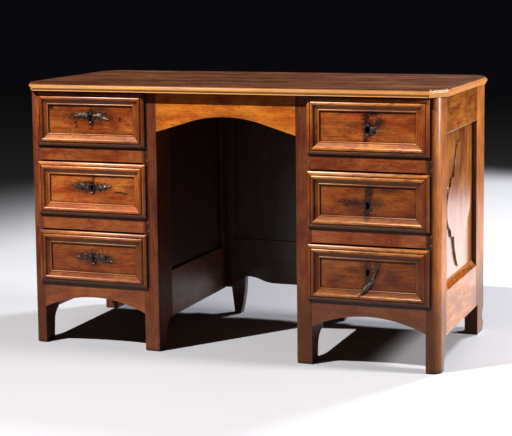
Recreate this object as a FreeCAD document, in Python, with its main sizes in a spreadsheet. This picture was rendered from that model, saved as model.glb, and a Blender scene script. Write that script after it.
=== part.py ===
import FreeCAD, Part
import Sketcher
import math
import operator
import os
from types import SimpleNamespace

# Walnut kneehole desk: two pedestals of three drawers, an arched apron over the
# knee space, frame-and-panel sides and one moulded top.
# X runs to the right, Y to the back, Z up. The origin lies on the floor under the
# centre of the top. Millimetres.

sheet_rows = [
    ("desk_height", 770, "floor to writing surface"),
    ("body_width", 1226, "across the outer faces of the posts"),
    ("body_depth", 560, "front face of the posts to their rear face"),
    ("top_thickness", 22, "whole moulded edge of the top"),
    ("top_front_overhang", 25, "top beyond the front of the posts"),
    ("top_side_overhang", 17, "top beyond the sides"),
    ("top_back_overhang", 18, "top beyond the back"),
    ("top_cant_width", 40, "canted corners of the top in plan, along the front"),
    ("top_cant_depth", 58, "the same, along the side"),
    ("top_corner_radius", 12, "softened ends of the cants"),
    ("top_fillet_height", 3, "flat step above the bullnose"),
    ("top_fillet_inset", 6, "how far the step is set back"),
    ("top_lip_height", 4, "flat lip below the bullnose"),
    ("top_lip_inset", 4, "how far the lip is set back"),
    ("knee_half_width", 209, "desk centre to the inner side of a pedestal"),
    ("outer_post_width", 39, "front face of an outer post"),
    ("inner_post_width", 44, "front face of an inner post"),
    ("outer_post_depth", 78, "side face of an outer front post"),
    ("rear_outer_post_depth", 103, "side face of an outer rear post"),
    ("inner_post_depth", 96, "knee face of an inner front post"),
    ("rear_inner_post_depth", 60, "knee face of an inner rear post"),
    ("post_corner_radius", 26, "rounded outer front corner"),
    ("foot_level", 84, "underside of the rails beside the knees"),
    ("outer_foot_level", 91, "underside of the rails of the outer sides"),
    ("foot_neck_height", 50, "where the curve of a front foot starts"),
    ("foot_neck_depth", 54, "depth of a front foot at its neck"),
    ("foot_sole_depth", 50, "depth of a front foot on the floor"),
    ("foot_edge_chamfer", 4, "worn lower edge of the feet"),
    ("rear_foot_depth", 82, "depth of a rear foot"),
    ("rear_notch_low", 26, "lower end of the hollow behind a rear foot"),
    ("rear_notch_high", 66, "upper end of that hollow"),
    ("rear_notch_depth", 16, "depth of that hollow"),
    ("heel_radius", 22, "rounded heel of a rear foot"),
    ("front_rail_thickness", 26, "rails and aprons of the front"),
    ("front_rail_height", 50, "rail between two drawers"),
    ("apron_top", 191, "upper edge of the pedestal aprons"),
    ("apron_arch_ends", 108, "floor to the ends of a pedestal arch"),
    ("apron_arch_rise", 37, "rise of a pedestal arch"),
    ("knee_apron_height", 113, "knee apron at the ends of its arch"),
    ("knee_shoulder_run", 99.5, "sloping shoulder of the knee arch, across"),
    ("knee_shoulder_rise", 30.5, "sloping shoulder of the knee arch, up"),
    ("knee_crown_rise", 16.5, "rounded crown of the knee arch"),
    ("tenon_thickness", 9, "all tenons"),
    ("tenon_length", 24, "how deep a tenon goes into its post"),
    ("tenon_shoulder", 12, "shoulder above and below a tenon"),
    ("side_rail_thickness", 30, "rails of the outer sides"),
    ("outer_rail_low_top", 232, "upper edge of the lower outer rail"),
    ("outer_upper_rail_height", 107, "upper outer rail"),
    ("bevel_rise", 18, "bevel on the lower outer rail, upwards"),
    ("lip_rise", 6, "bevelled lip under the upper outer rail, upwards"),
    ("lip_depth", 5, "the same lip, inwards"),
    ("panel_depth", 14, "outer face to the outer panel, also the bevel's depth"),
    ("outer_panel_thickness", 12, "flat of an outer panel"),
    ("panel_tongue", 8, "panel edge held in its groove"),
    ("field_thickness", 5, "raised shaped field"),
    ("field_half_width", 148, "centre of the field to its widest point"),
    ("field_half_height", 176, "centre of the field to its end"),
    ("inner_rail_thickness", 24, "rails of the knee sides"),
    ("inner_rail_low_top", 219, "upper edge of the lower knee rail"),
    ("inner_upper_rail_height", 108, "upper knee rail"),
    ("inner_panel_recess", 9, "knee face to the knee panel"),
    ("inner_panel_thickness", 10, "knee panel"),
    ("back_stile_width", 32, "stile at the back of the knee space"),
    ("back_stile_thickness", 29, "the same stile, front to back"),
    ("back_foot_shoulder", 17, "where a back foot starts under its stile, in from the knee side"),
    ("back_foot_outer", 27, "sole of a back foot, in from the knee side"),
    ("back_foot_inner", 46, "the same, to the far end of the sole"),
    ("back_foot_spread", 62, "the same, to the bracket under the rail"),
    ("back_foot_swell", 4, "how far the bracket's edge bulges"),
    ("back_rail_thickness", 18, "rails at the back of the knee space"),
    ("back_rail_low_top", 240, "upper edge of the lower back rail"),
    ("back_upper_rail_height", 108, "upper back rail"),
    ("scallop_high", 121, "high part of the scalloped lower edge"),
    ("scallop_low", 103, "low part of the scalloped lower edge"),
    ("back_panel_thickness", 8, "panel at the back of the knee space"),
    ("back_board_thickness", 14, "boards that close the pedestals behind"),
    ("runner_width", 22, "wooden runners under the drawer sides"),
    ("running_gap", 0.3, "between pieces that slide on each other"),
    ("drawer_side_gap", 1.5, "drawer to post, each side"),
    ("drawer_top_gap", 5, "open joint above a drawer front"),
    ("drawer_bottom_lip", 7.5, "moulding below the edge of the opening"),
    ("drawer_side_lip", 10.5, "moulding over the face of a post"),
    ("front_board_thickness", 24, "drawer front without its moulding"),
    ("drawer_back_gap", 16, "back of a drawer to the back board"),
    ("drawer_headroom", 7, "sides of a drawer to the top of its opening"),
    ("drawer_side_thickness", 10, "sides and back of a drawer"),
    ("drawer_bottom_thickness", 8, "bottom board of a drawer"),
    ("drawer_bottom_raise", 9, "side's lower edge to the bottom board"),
    ("moulding_width", 36, "whole moulding round a drawer front"),
    ("moulding_edge", 5, "height of its outer edge"),
    ("moulding_bevel", 9, "width of the rounded bevel inside the edge"),
    ("moulding_shoulder", 9.5, "height at the bevel's end"),
    ("moulding_bulge", 0.8, "how far the bevel is rounded"),
    ("moulding_quirk", 1.5, "width of the groove between the bevel and the round"),
    ("moulding_foot", 7.5, "height at both feet of the round"),
    ("moulding_round_end", 22, "outer edge to the end of the round"),
    ("moulding_round_rise", 5, "feet of the round to its crest"),
    ("moulding_slope_end", 32, "outer edge to the end of the slope"),
    ("moulding_step", 3.4, "height of both feet of the bead beside the panel"),
    ("moulding_bead_rise", 1.2, "feet of the bead to its crest"),
    ("keyhole_radius", 4.2, "round part of a keyhole"),
    ("keyhole_slot_width", 4, "slot of a keyhole"),
    ("worn_keyhole_radius", 6.3, "round part of the worn keyholes of the right pedestal"),
    ("worn_keyhole_slot_width", 9.5, "slot of a worn keyhole"),
    ("keyhole_slot_length", 13, "centre of the round part to the slot's end"),
    ("lock_width", 92, "lock case"),
    ("lock_thickness", 11, "lock case, front to back"),
    ("lock_let_in", 8, "how deep the case is let into the front board"),
    ("lock_plate", 2, "iron left on each side of the bolt"),
    ("bolt_width", 16, "lock bolt"),
    ("bolt_length", 24, "lock bolt, when drawn back"),
    ("bolt_throw", 12, "travel of the bolt"),
    ("strike_play", 2, "room round the thrown bolt"),
    ("plate_thickness", 1.2, "escutcheon plates"),
    ("plate_half_length", 54, "long escutcheons of the left pedestal"),
    ("plate_half_height", 13, "the same, at the middle"),
    ("ring_half_width", 11, "small escutcheons of the right pedestal"),
    ("ring_half_height", 19, "the same, upright"),
    ("hanging_plate_length", 46, "torn plate left under the last keyhole"),
    ("hanging_plate_width", 9, "the same, across"),
    ("hanging_plate_rise", 14.4, "moulding's inner edge up to the nail that still holds it"),
    ("cut_overrun", 5, "how far cutting shapes pass the surface"),
]

# Corners of a quarter of the side panel's raised field, as shares of its half
# width and half height, from the bulge at its waist to its end.
field_shares = {"bulge": (0.7, 0.34), "neck": (0.63, 0.46), "step": (0.43, 0.48), "end": (0.1, 1.0)}
flank_radius_share = 1.6
# Where the scalloped rail's wave starts and ends, as shares of its length.
wave_start_share = 0.11
wave_end_share = 0.36
# Radius of the curve above a front foot, as a share of its chord.
foot_curve_share = 0.85
# How much of an edge's length must be rise for it to count as upright.
upright_share = 0.99
# Lock case below the keyhole, as a share of the drawer opening's height.
lock_drop_share = 0.2
# Keyholes above the middle of their fronts, as shares of the room that a plate has
# inside the moulding: the locks were never set quite level.
keyhole_rise_shares = {
    "left_top": 0.402, "left_middle": 0.335, "left_bottom": 0.067,
    "right_top": -0.223, "right_middle": -0.379, "right_bottom": 0.402,
}
# The torn plate leans to the left and stands out over the moulding, in degrees.
plate_lean_angle = 48
plate_tilt_angle = -20


class Length:
    """A length with the expression that ties it to the sheet."""

    def __init__(self, value, text):
        self.value = value
        self.text = text

    def __add__(self, other):
        return combined(self, "+", other)

    def __radd__(self, other):
        return combined(other, "+", self)

    def __sub__(self, other):
        return combined(self, "-", other)

    def __rsub__(self, other):
        return combined(other, "-", self)

    def __mul__(self, other):
        return combined(self, "*", other)

    def __rmul__(self, other):
        return combined(other, "*", self)

    def __truediv__(self, other):
        return combined(self, "/", other)

    def __neg__(self):
        return combined(0, "-", self)

    def root(self):
        return Length(math.sqrt(self.value), f"sqrt({self.text})")


signs = {"+": operator.add, "-": operator.sub, "*": operator.mul, "/": operator.truediv}


def as_length(value):
    return value if isinstance(value, Length) else Length(value, repr(value))


def combined(left, sign, right):
    left, right = as_length(left), as_length(right)
    value = signs[sign](left.value, right.value)
    return Length(value, f"({left.text} {sign} {right.text})")


doc = FreeCAD.newDocument("kneehole_desk")
sheet = doc.addObject("Spreadsheet::Sheet", "Sizes")
named = {}
for number, (alias, value, note) in enumerate(sheet_rows, start=1):
    sheet.set(f"A{number}", note)
    sheet.set(f"B{number}", str(value))
    sheet.setAlias(f"B{number}", alias)
    named[alias] = Length(value, f"Sizes.{alias}")
s = SimpleNamespace(**named)
doc.recompute()

nodes = []


def keep(item, label):
    """Gives a finished sub-part its name and puts it on the list to write."""
    item.Label = label
    nodes.append(item)
    return item


def bind(item, **values):
    for name, value in values.items():
        item.setExpression(name, as_length(value).text)


def place(item, x, y, z):
    for axis, value in (("x", x), ("y", y), ("z", z)):
        item.setExpression(f"Placement.Base.{axis}", as_length(value).text)


def block(x, y, z):
    """A board between three pairs of low and high values."""
    board = doc.addObject("Part::Box", "board")
    bind(board, Length=x[1] - x[0], Width=y[1] - y[0], Height=z[1] - z[0])
    place(board, x[0], y[0], z[0])
    return board


def across(side, near, far):
    """Low and high X of something that lies between two distances from the centre."""
    return (near, far) if side > 0 else (-far, -near)


def joined(items):
    if len(items) == 1:
        return items[0]
    whole = doc.addObject("Part::MultiFuse", "joined")
    whole.Shapes = items
    return whole


def cut(base, tools):
    """The base with the tools taken away, tools given as a list."""
    result = doc.addObject("Part::Cut", "cut")
    result.Base = base
    result.Tool = joined(tools)
    return result


def grouped(items):
    group = doc.addObject("Part::Compound", "group")
    group.Links = items
    return group


def arc_centre(start, end, radius, bulge):
    """Centre of the short arc that bulges to the left (1) or right (-1) of its way."""
    along = end - start
    half = along.Length / 2
    left = FreeCAD.Vector(-along.y, along.x, 0).normalize()
    return start + along / 2 - left * bulge * math.sqrt(max(radius * radius - half * half, 0))


def sketch_outline(sketch, points):
    """Closes an outline of lines and arcs and ties every corner to the sheet.
    A point is (a, b), or (a, b, radius, bulge) where an arc runs to the next one."""
    corners = [FreeCAD.Vector(as_length(p[0]).value, as_length(p[1]).value, 0) for p in points]
    ends = []
    for number, point in enumerate(points):
        start, end = corners[number], corners[(number + 1) % len(points)]
        if len(point) == 2:
            ends.append((sketch.addGeometry(Part.LineSegment(start, end)), 1, 2))
            continue
        radius, bulge = point[2].value, point[3]
        middle = arc_centre(start, end, radius, bulge)
        first, last = (end, start) if bulge > 0 else (start, end)
        angles = [math.atan2(v.y - middle.y, v.x - middle.x) for v in (first, last)]
        circle = Part.Circle(middle, FreeCAD.Vector(0, 0, 1), radius)
        edge = sketch.addGeometry(Part.ArcOfCircle(circle, *angles))
        ends.append((edge, 2, 1) if bulge > 0 else (edge, 1, 2))
        constraint = sketch.addConstraint(Sketcher.Constraint("Radius", edge, radius))
        sketch.setExpression(f"Constraints[{constraint}]", point[2].text)
    for number, point in enumerate(points):
        edge, start_end, far_end = ends[number]
        following, next_end, _ = ends[(number + 1) % len(points)]
        sketch.addConstraint(Sketcher.Constraint("Coincident", edge, far_end, following, next_end))
        for kind, value in (("DistanceX", point[0]), ("DistanceY", point[1])):
            value = as_length(value)
            constraint = sketch.addConstraint(
                Sketcher.Constraint(kind, -1, 1, edge, start_end, value.value))
            sketch.setExpression(f"Constraints[{constraint}]", value.text)


def origin_plane(body, role):
    return next(item for item in body.Origin.OriginFeatures if item.Role == role)


def padded(role, points, length, x, y, z):
    """A body padded from an outline: XZ outlines grow to the front, YZ ones to the right."""
    body = doc.addObject("PartDesign::Body", "body")
    sketch = body.newObject("Sketcher::SketchObject", "outline")
    sketch.AttachmentSupport = [(origin_plane(body, role), "")]
    sketch.MapMode = "FlatFace"
    sketch_outline(sketch, points)
    pad = body.newObject("PartDesign::Pad", "pad")
    pad.Profile = sketch
    bind(pad, Length=length)
    place(body, x, y, z)
    doc.recompute()
    return body


def sagitta_radius(chord, rise):
    return (chord * chord / 4 + rise * rise) / (2 * rise)


def rounded(base, radius, wanted):
    """Fillets the edges of the base whose line passes the test."""
    doc.recompute()
    fillet = doc.addObject("Part::Fillet", "rounded")
    fillet.Base = base
    picked = [n for n, edge in enumerate(base.Shape.Edges, start=1) if wanted(edge)]
    fillet.Edges = [(n, radius.value, radius.value) for n in picked]
    return fillet


def is_upright(edge):
    low, high = edge.Vertexes[0].Point, edge.Vertexes[-1].Point
    return abs(high.z - low.z) > (high - low).Length * upright_share


# Planes and levels that several pieces share.
total_depth = s.body_depth + s.top_front_overhang + s.top_back_overhang
front = s.top_front_overhang - total_depth / 2
back = front + s.body_depth
half_body = s.body_width / 2
underside = s.desk_height - s.top_thickness
opening_near = s.knee_half_width + s.inner_post_width
opening_far = half_body - s.outer_post_width
opening_width = opening_far - opening_near
drawer_levels = ("bottom", "middle", "top")
rail_heights = s.front_rail_height * (len(drawer_levels) - 1)
opening_height = (underside - s.apron_top - rail_heights) / len(drawer_levels)
pitch = opening_height + s.front_rail_height
knee_arch_ends = underside - s.knee_apron_height
outer_panel_top = underside - s.outer_upper_rail_height
inner_panel_top = underside - s.inner_upper_rail_height
back_panel_top = underside - s.back_upper_rail_height
tenon_front = front + (s.front_rail_thickness - s.tenon_thickness) / 2
tenon_span = (tenon_front, tenon_front + s.tenon_thickness)
sides = {"left": -1, "right": 1}


def opening_bottom(row):
    return s.apron_top + pitch * row


def drawer_centre(side):
    return side * (opening_near + opening_far) / 2


def front_board_top(row):
    return opening_bottom(row) + opening_height - s.drawer_top_gap


# The cutting shapes that each post, rail and the top still has to take, by node.
cuts = {}


def take(node, tool):
    cuts.setdefault(node, []).append(tool)


def finished(node, base):
    return keep(cut(base, cuts[node]) if node in cuts else base, node)


def rail_along_x(low_x, high_x, z, posts, body=None):
    """A front rail or apron with its two tenons, which also cut their mortises."""
    parts = [body or block((low_x, high_x), (front, front + s.front_rail_thickness), z)]
    tenon_z = (z[0] + s.tenon_shoulder, z[1] - s.tenon_shoulder)
    for post, reach in zip(posts, ((low_x - s.tenon_length, low_x), (high_x, high_x + s.tenon_length))):
        parts.append(block(reach, tenon_span, tenon_z))
        take(post, block(reach, tenon_span, tenon_z))
    return joined(parts)


def rail_along_y(side, near, far, y, z, posts, body=None):
    """A side rail with its two tenons, which also cut their mortises."""
    x = across(side, near, far)
    parts = [body or block(x, y, z)]
    middle = side * (near + far) / 2
    tenon_x = (middle - s.tenon_thickness / 2, middle + s.tenon_thickness / 2)
    tenon_z = (z[0] + s.tenon_shoulder, z[1] - s.tenon_shoulder)
    for post, reach in zip(posts, ((y[0] - s.tenon_length, y[0]), (y[1], y[1] + s.tenon_length))):
        parts.append(block(tenon_x, reach, tenon_z))
        take(post, block(tenon_x, reach, tenon_z))
    return joined(parts)


def strike(side, row):
    """Pocket above a drawer front that takes the thrown bolt."""
    half = s.bolt_width / 2 + s.strike_play
    centre = drawer_centre(side)
    low = opening_bottom(row) + opening_height
    deep = s.bolt_throw - s.drawer_top_gap + s.strike_play
    bolt_y = bolt_span()
    return block((centre - half, centre + half),
                 (bolt_y[0] - s.running_gap, bolt_y[1] + s.running_gap),
                 (low - s.cut_overrun, low + deep))


def board_back():
    return front - s.running_gap + s.front_board_thickness


def lock_span():
    start = board_back() - s.lock_let_in
    return (start, start + s.lock_thickness)


def bolt_span():
    low, high = lock_span()
    return (low + s.lock_plate, high - s.lock_plate)


# Front rails, aprons and the knee apron.
front_rails = {}
aprons = {}
for name, side in sides.items():
    low, high = across(side, opening_near, opening_far)
    outer, inner = f"{name}_outer_front_post", f"{name}_inner_front_post"
    ends = (outer, inner) if side < 0 else (inner, outer)
    rails = []
    for row in (1, 2):
        z = (opening_bottom(row) - s.front_rail_height, opening_bottom(row))
        rails.append(cut(rail_along_x(low, high, z, ends), [strike(side, row - 1)]))
    front_rails[name] = rails
    take("top", strike(side, 2))
    drop = s.apron_arch_ends
    radius = sagitta_radius(opening_width, s.apron_arch_rise)
    arched = padded("XZ_Plane", [
        (0, drop, radius, 1),
        (opening_width, drop),
        (opening_width, s.apron_top),
        (0, s.apron_top),
    ], s.front_rail_thickness, low, front + s.front_rail_thickness, 0)
    aprons[name] = rail_along_x(low, high, (drop, s.apron_top), ends, arched)

knee_width = 2 * s.knee_half_width
crown_width = knee_width - 2 * s.knee_shoulder_run
shoulder = knee_arch_ends + s.knee_shoulder_rise
knee_arched = padded("XZ_Plane", [
    (0, knee_arch_ends),
    (s.knee_shoulder_run, shoulder, sagitta_radius(crown_width, s.knee_crown_rise), 1),
    (knee_width - s.knee_shoulder_run, shoulder),
    (knee_width, knee_arch_ends),
    (knee_width, underside),
    (0, underside),
], s.front_rail_thickness, -s.knee_half_width, front + s.front_rail_thickness, 0)
knee_apron = rail_along_x(-s.knee_half_width, s.knee_half_width, (knee_arch_ends, underside),
                          ("left_inner_front_post", "right_inner_front_post"), knee_arched)

# Outer sides: two rails, the lower one bevelled, and a panel with a raised field.
outer_y = (front + s.outer_post_depth, back - s.rear_outer_post_depth)


def field_outline():
    """Starts low on the right and runs round the field, each bulge as one arc."""
    def corner(name, across_sign, up_sign):
        wide, high = field_shares[name]
        return (s.field_half_width * (1 + wide * across_sign),
                s.field_half_height * (1 + high * up_sign))

    wide, high = field_shares["bulge"]
    chord = s.field_half_height * (2 * high)
    bulge_radius = sagitta_radius(chord, s.field_half_width * (1 - wide))
    run = s.field_half_width * (field_shares["step"][0] - field_shares["end"][0])
    rise = s.field_half_height * (field_shares["end"][1] - field_shares["step"][1])
    flank_radius = (run * run + rise * rise).root() * flank_radius_share
    points = []
    for side in (1, -1):
        points.append(corner("bulge", side, -side) + (bulge_radius, -1))
        points.append(corner("bulge", side, side))
        points.append(corner("neck", side, side))
        points.append(corner("step", side, side) + (flank_radius, -1))
        points.append(corner("end", side, side))
        points.append(corner("end", -side, side) + (flank_radius, -1))
        points.append(corner("step", -side, side))
        points.append(corner("neck", -side, side))
    return points


def outer_rail_body(side, y, section):
    """An outer rail by its section, drawn from the inner face outwards."""
    if side < 0:
        section = [(s.side_rail_thickness - across_x, up) for across_x, up in reversed(section)]
    start = across(side, half_body - s.side_rail_thickness, half_body)[0]
    return padded("XZ_Plane", section, y[1] - y[0], start, y[1], 0)


# The lower rail slopes down to the panel, and the upper one has a bevelled lip over it.
low_z = (s.outer_foot_level, s.outer_rail_low_top)
high_z = (outer_panel_top, underside)
low_section = [
    (0, s.outer_foot_level),
    (s.side_rail_thickness, s.outer_foot_level),
    (s.side_rail_thickness, s.outer_rail_low_top - s.bevel_rise),
    (s.side_rail_thickness - s.panel_depth, s.outer_rail_low_top),
    (0, s.outer_rail_low_top),
]
high_section = [
    (0, outer_panel_top),
    (s.side_rail_thickness - s.lip_depth, outer_panel_top),
    (s.side_rail_thickness, outer_panel_top + s.lip_rise),
    (s.side_rail_thickness, underside),
    (0, underside),
]


outer_rails = {}
outer_panels = {}
for name, side in sides.items():
    posts = (f"{name}_outer_front_post", f"{name}_outer_rear_post")
    near, far = half_body - s.side_rail_thickness, half_body
    face = half_body - s.panel_depth
    middle_y = (outer_y[0] + outer_y[1]) / 2
    middle_z = (s.outer_rail_low_top - s.bevel_rise + outer_panel_top) / 2
    panel_y = (outer_y[0] - s.panel_tongue, outer_y[1] + s.panel_tongue)
    panel_z = (s.outer_rail_low_top - s.panel_tongue, outer_panel_top + s.panel_tongue)
    panel_x = across(side, face - s.outer_panel_thickness, face)
    field_x = across(side, face - s.field_thickness, face + s.field_thickness)[0]
    field = padded("YZ_Plane", field_outline(), 2 * s.field_thickness, field_x,
                   middle_y - s.field_half_width, middle_z - s.field_half_height)
    outer_panels[name] = joined([block(panel_x, panel_y, panel_z), field])
    groove = block(panel_x, panel_y, panel_z)
    low_body = outer_rail_body(side, outer_y, low_section)
    high_body = outer_rail_body(side, outer_y, high_section)
    outer_rails[name] = {
        "lower": cut(rail_along_y(side, near, far, outer_y, low_z, posts, low_body), [groove]),
        "upper": cut(rail_along_y(side, near, far, outer_y, high_z, posts, high_body), [groove]),
    }
    for post in posts:
        take(post, block(panel_x, panel_y, panel_z))

# Knee sides: plain square-edged frames with a flat panel.
inner_y = (front + s.inner_post_depth, back - s.rear_inner_post_depth)
inner_rails = {}
inner_panels = {}
for name, side in sides.items():
    posts = (f"{name}_inner_front_post", f"{name}_inner_rear_post")
    near, far = s.knee_half_width, s.knee_half_width + s.inner_rail_thickness
    panel_near = near + s.inner_panel_recess
    panel_x = across(side, panel_near, panel_near + s.inner_panel_thickness)
    panel_y = (inner_y[0] - s.panel_tongue, inner_y[1] + s.panel_tongue)
    panel_z = (s.inner_rail_low_top - s.panel_tongue, inner_panel_top + s.panel_tongue)
    inner_panels[name] = block(panel_x, panel_y, panel_z)
    rails = []
    for z in ((s.foot_level, s.inner_rail_low_top), (inner_panel_top, underside)):
        rail = rail_along_y(side, near, far, inner_y, z, posts)
        rails.append(cut(rail, [block(panel_x, panel_y, panel_z)]))
    inner_rails[name] = rails
    for post in posts:
        take(post, block(panel_x, panel_y, panel_z))


# Posts and feet.
def front_post(side, near, far, depth, level):
    run = depth - s.foot_neck_depth
    rise = level - s.foot_neck_height
    curve = (run * run + rise * rise).root() * foot_curve_share
    x = across(side, near, far)
    return padded("YZ_Plane", [
        (s.foot_edge_chamfer, 0),
        (s.foot_sole_depth - s.foot_edge_chamfer, 0),
        (s.foot_sole_depth, s.foot_edge_chamfer),
        (s.foot_neck_depth, s.foot_neck_height, curve, 1),
        (depth, level),
        (depth, underside),
        (0, underside),
        (0, s.foot_edge_chamfer),
    ], far - near, x[0], front, 0)


def rear_post(side, near, far):
    depth = s.rear_outer_post_depth
    hollow = sagitta_radius(s.rear_notch_high - s.rear_notch_low, s.rear_notch_depth)
    return padded("YZ_Plane", [
        (depth - s.rear_foot_depth, 0),
        (depth - s.heel_radius, 0, s.heel_radius, -1),
        (depth, s.heel_radius),
        (depth, s.rear_notch_low, hollow, 1),
        (depth, s.rear_notch_high),
        (depth, underside),
        (0, underside),
        (0, s.outer_foot_level),
        (depth - s.rear_foot_depth, s.outer_foot_level),
    ], far - near, across(side, near, far)[0], back - depth, 0)


for name, side in sides.items():
    outer = f"{name}_outer_front_post"
    square = front_post(side, opening_far, half_body, s.outer_post_depth, s.outer_foot_level)
    corner_x = side * half_body

    def is_outer_corner(edge):
        start = edge.Vertexes[0].Point
        away = abs(start.x - corner_x.value) + abs(start.y - front.value)
        return is_upright(edge) and away < s.running_gap.value

    finished(outer, rounded(square, s.post_corner_radius, is_outer_corner))
    inner = f"{name}_inner_front_post"
    finished(inner, front_post(side, s.knee_half_width, opening_near, s.inner_post_depth, s.foot_level))
    finished(f"{name}_outer_rear_post", rear_post(side, opening_far, half_body))
    finished(f"{name}_inner_rear_post",
             block(across(side, s.knee_half_width, opening_near),
                   (back - s.rear_inner_post_depth, back), (s.foot_level, underside)))
    keep(grouped(front_rails[name]), f"{name}_front_rails")
    keep(aprons[name], f"{name}_front_apron")
    for level in ("lower", "upper"):
        keep(outer_rails[name][level], f"{name}_outer_{level}_rail")
    keep(outer_panels[name], f"{name}_outer_panel")
    keep(grouped(inner_rails[name]), f"{name}_knee_side_rails")
    keep(inner_panels[name], f"{name}_knee_side_panel")
keep(knee_apron, "kneehole_apron")

# Back of the knee space: two stiles with bracket feet, two rails and a panel.
stile_y = (back - s.back_stile_thickness, back)
stile_inside = s.knee_half_width - s.back_stile_width
rail_middle = (stile_y[0] + stile_y[1]) / 2
rail_y = (rail_middle - s.back_rail_thickness / 2, rail_middle + s.back_rail_thickness / 2)
panel_y = (rail_middle - s.back_panel_thickness / 2, rail_middle + s.back_panel_thickness / 2)
back_panel_x = (-stile_inside - s.panel_tongue, stile_inside + s.panel_tongue)
back_panel_z = (s.back_rail_low_top - s.panel_tongue, back_panel_top + s.panel_tongue)


def back_stile(side):
    """Stile at the back of the knee space; its foot spreads to a bracket under the rail."""
    width, high = s.back_stile_width, s.scallop_high
    reach = s.back_foot_spread - s.back_foot_inner
    swell = sagitta_radius((reach * reach + high * high).root(), s.back_foot_swell)
    outline = [
        (s.back_foot_outer, 0),
        (s.back_foot_inner, 0, swell, side),
        (s.back_foot_spread, high),
        (width, high),
        (width, underside),
        (0, underside),
        (0, s.foot_level),
        (s.back_foot_shoulder, s.foot_level),
    ]
    if side > 0:
        outline = [(width - a, *rest) for a, *rest in outline]
    return padded("XZ_Plane", outline, s.back_stile_thickness,
                  across(side, stile_inside, s.knee_half_width)[0], back, 0)


def scalloped_rail():
    length = 2 * stile_inside
    flat_end, wave_end = length * wave_start_share, length * wave_end_share
    middle = (s.scallop_high + s.scallop_low) / 2
    half_run = (wave_end - flat_end) / 2
    half_drop = (s.scallop_high - s.scallop_low) / 2
    wave = (half_run * half_run + half_drop * half_drop) / (2 * half_drop)
    turn = flat_end + half_run
    outline = [
        (0, s.scallop_high),
        (flat_end, s.scallop_high, wave, 1),
        (turn, middle, wave, -1),
        (wave_end, s.scallop_low),
        (length - wave_end, s.scallop_low, wave, -1),
        (length - turn, middle, wave, 1),
        (length - flat_end, s.scallop_high),
        (length, s.scallop_high),
        (length, s.back_rail_low_top),
        (0, s.back_rail_low_top),
    ]
    return padded("XZ_Plane", outline, s.back_rail_thickness, -stile_inside, rail_y[1], 0)


back_panel = block(back_panel_x, panel_y, back_panel_z)
upper_back_rail = block((-stile_inside, stile_inside), rail_y, (back_panel_top, underside))
frame = [cut(back_stile(side), [back_panel]) for side in (-1, 1)]
frame += [cut(rail, [back_panel]) for rail in (scalloped_rail(), upper_back_rail)]
keep(grouped(frame), "kneehole_back_frame")
keep(back_panel, "kneehole_back_panel")

# Boards behind the drawers, and the runners that carry the drawers.
board_y = (back - s.rear_inner_post_depth / 2, back - s.rear_inner_post_depth / 2 + s.back_board_thickness)
for name, side in sides.items():
    low, high = across(side, opening_near, opening_far)
    keep(block((low, high), board_y, (s.foot_level, underside)), f"{name}_back_board")
    runners = []
    for row in range(len(drawer_levels)):
        z = (opening_bottom(row) - s.front_rail_height, opening_bottom(row))
        y = (front + s.front_rail_thickness, board_y[0])
        runners.append(block((low, low + s.runner_width), y, z))
        runners.append(block((high - s.runner_width, high), y, z))
    keep(grouped(runners), f"{name}_drawer_runners")

# The top: a bullnose board between a set-back step above and a lip below.


def top_plate(inset, z):
    """Plate with canted corners, its whole outline set in by the inset."""
    wide, deep = s.top_cant_width, s.top_cant_depth
    slack = wide + deep - (wide * wide + deep * deep).root()
    cut_x = wide - inset * slack / deep
    cut_y = deep - inset * slack / wide
    half_x = half_body + s.top_side_overhang - inset
    half_y = total_depth / 2 - inset
    outline = [
        (cut_x, 0),
        (2 * half_x - cut_x, 0),
        (2 * half_x, cut_y),
        (2 * half_x, 2 * half_y - cut_y),
        (2 * half_x - cut_x, 2 * half_y),
        (cut_x, 2 * half_y),
        (0, 2 * half_y - cut_y),
        (0, cut_y),
    ]
    plate = padded("XY_Plane", outline, z[1] - z[0], -half_x, -half_y, z[0])
    return rounded(plate, s.top_corner_radius, is_upright)


nose_z = (underside + s.top_lip_height, s.desk_height - s.top_fillet_height)
nose_radius = (nose_z[1] - nose_z[0]) / 2 - s.running_gap
nose = rounded(top_plate(as_length(0), nose_z), nose_radius, lambda edge: not is_upright(edge))
top_board = joined([top_plate(s.top_fillet_inset, (underside + s.top_lip_height, s.desk_height)), nose,
                    top_plate(s.top_lip_inset, (underside, nose_z[1]))])
finished("top", top_board)


# Drawers.
def keyhole(side, centre, height, y):
    """Round hole with a slot below it, run from front to back through y."""
    radius, slot_width = s.keyhole_radius, s.keyhole_slot_width
    if side > 0:
        radius, slot_width = s.worn_keyhole_radius, s.worn_keyhole_slot_width
    hole = doc.addObject("Part::Cylinder", "hole")
    bind(hole, Radius=radius, Height=y[1] - y[0])
    hole.Placement.Rotation = FreeCAD.Rotation(FreeCAD.Vector(1, 0, 0), -90)
    place(hole, centre, y[0], height)
    half = slot_width / 2
    slot = block((centre - half, centre + half), y, (height - s.keyhole_slot_length, height))
    return joined([hole, slot])


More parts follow.
